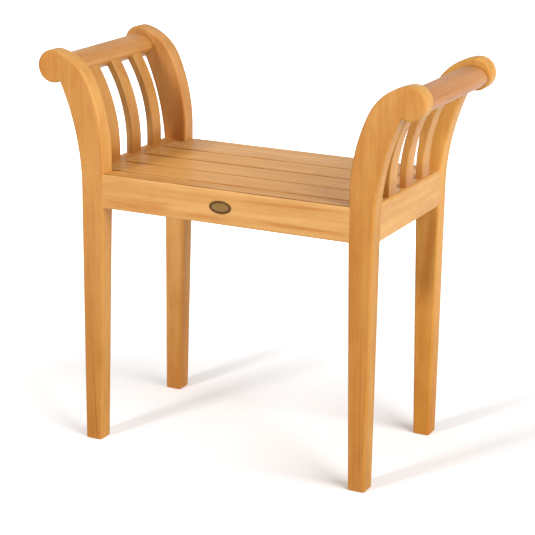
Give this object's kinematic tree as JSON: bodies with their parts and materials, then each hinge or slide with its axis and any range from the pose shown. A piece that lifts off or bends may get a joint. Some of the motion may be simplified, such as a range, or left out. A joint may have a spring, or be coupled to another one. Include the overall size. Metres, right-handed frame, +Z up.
{
  "type": "shower bench",
  "caption": "Backless slatted timber bench with two scrolled arms, deep aprons and tapered legs, for sitting in a shower or bathroom.",
  "frame": {"origin": "on the floor, under the middle of the bench", "axes": "+X along the seat towards the right arm as a sitter in front sees it, +Y to the back of the seat, +Z up"},
  "size_m": [0.6554, 0.3003, 0.6387],
  "materials": {
    "teak_post": "satin",
    "teak_rail": "satin",
    "teak_arm": "satin",
    "teak_seat": "satin",
    "teak_batten": "sawn",
    "pegs": "sanded",
    "screws": "satin",
    "bronze": "antiqued"
  },
  "bodies": {
    "root": {"post_front_left": "teak_post", "post_front_right": "teak_post", "post_back_left": "teak_post", "post_back_right": "teak_post", "front_apron": "teak_rail", "back_apron": "teak_rail", "side_rail_left": "teak_rail", "side_rail_right": "teak_rail", "arm_rail_left": "teak_arm", "arm_rail_right": "teak_arm", "arm_slat_left_front": "teak_arm", "arm_slat_left_middle": "teak_arm", "arm_slat_left_back": "teak_arm", "arm_slat_right_front": "teak_arm", "arm_slat_right_middle": "teak_arm", "arm_slat_right_back": "teak_arm", "seat_slat_front": "teak_seat", "seat_slat_middle": "teak_seat", "seat_slat_rear": "teak_seat", "seat_back_board": "teak_seat", "seat_cleat_left": "teak_batten", "seat_cleat_right": "teak_batten", "centre_batten": "teak_batten", "slat_screws_left": "screws", "slat_screws_right": "screws", "slat_screws_centre": "screws", "cleat_screws_left": "screws", "cleat_screws_right": "screws", "apron_pegs": "pegs", "back_board_dowels": "pegs", "plaque": "bronze", "plaque_pins": "bronze"}
  },
  "joints": []
}
